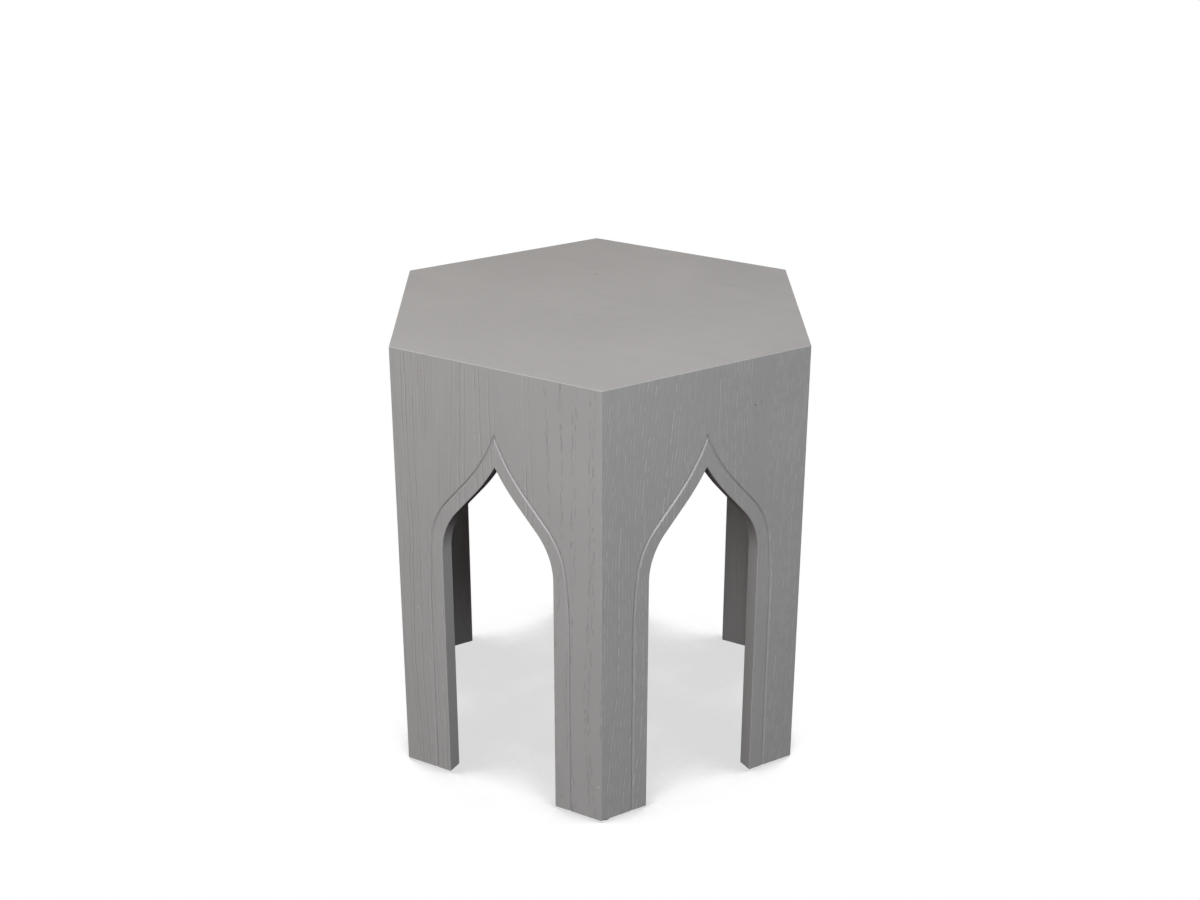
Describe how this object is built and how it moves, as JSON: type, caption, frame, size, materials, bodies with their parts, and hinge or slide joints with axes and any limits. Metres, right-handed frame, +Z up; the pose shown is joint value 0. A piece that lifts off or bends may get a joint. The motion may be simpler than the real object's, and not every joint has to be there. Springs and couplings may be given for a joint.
{
  "type": "hexagonal arched stool",
  "caption": "Six-sided kursi stool or side table: a mitred hexagonal top on mitred sides, each cut by a pointed ogee arch with a V groove round it, on small glides.",
  "frame": {"origin": "on the floor under the middle of the stool", "axes": "+Z up, +Y to the back, +X to the right; one corner of the hexagon points to -Y and one to +Y, so one side faces +X and one -X"},
  "size_m": [0.44, 0.508, 0.5073],
  "materials": {
    "painted_board": "satin warm grey paint over open-grained veneer",
    "painted_block": "flat warm grey paint, thinly sprayed over softwood",
    "plywood": "bare birch plywood",
    "plated_screw": "zinc plated, satin",
    "grey_plastic": "moulded, matte grey"
  },
  "bodies": {
    "root": {"top_board": "painted_board", "side_board_front_right": "painted_board", "top_spline_front_right": "plywood", "cleat_front_right": "painted_block", "side_screw_front_right": "plated_screw", "top_screw_front_right_1": "plated_screw", "top_screw_front_right_2": "plated_screw", "side_board_right": "painted_board", "top_spline_right": "plywood", "cleat_right": "painted_block", "side_screw_right": "plated_screw", "top_screw_right_1": "plated_screw", "top_screw_right_2": "plated_screw", "side_board_back_right": "painted_board", "top_spline_back_right": "plywood", "cleat_back_right": "painted_block", "side_screw_back_right": "plated_screw", "top_screw_back_right_1": "plated_screw", "top_screw_back_right_2": "plated_screw", "side_board_back_left": "painted_board", "top_spline_back_left": "plywood", "cleat_back_left": "painted_block", "side_screw_back_left": "plated_screw", "top_screw_back_left_1": "plated_screw", "top_screw_back_left_2": "plated_screw", "side_board_left": "painted_board", "top_spline_left": "plywood", "cleat_left": "painted_block", "side_screw_left": "plated_screw", "top_screw_left_1": "plated_screw", "top_screw_left_2": "plated_screw", "side_board_front_left": "painted_board", "top_spline_front_left": "plywood", "cleat_front_left": "painted_block", "side_screw_front_left": "plated_screw", "top_screw_front_left_1": "plated_screw", "top_screw_front_left_2": "plated_screw", "corner_spline_front": "plywood", "glue_block_front": "painted_block", "glide_front": "grey_plastic", "corner_spline_right_front": "plywood", "glue_block_right_front": "painted_block", "glide_right_front": "grey_plastic", "corner_spline_right_back": "plywood", "glue_block_right_back": "painted_block", "glide_right_back": "grey_plastic", "corner_spline_back": "plywood", "glue_block_back": "painted_block", "glide_back": "grey_plastic", "corner_spline_left_back": "plywood", "glue_block_left_back": "painted_block", "glide_left_back": "grey_plastic", "corner_spline_left_front": "plywood", "glue_block_left_front": "painted_block", "glide_left_front": "grey_plastic"}
  },
  "joints": []
}
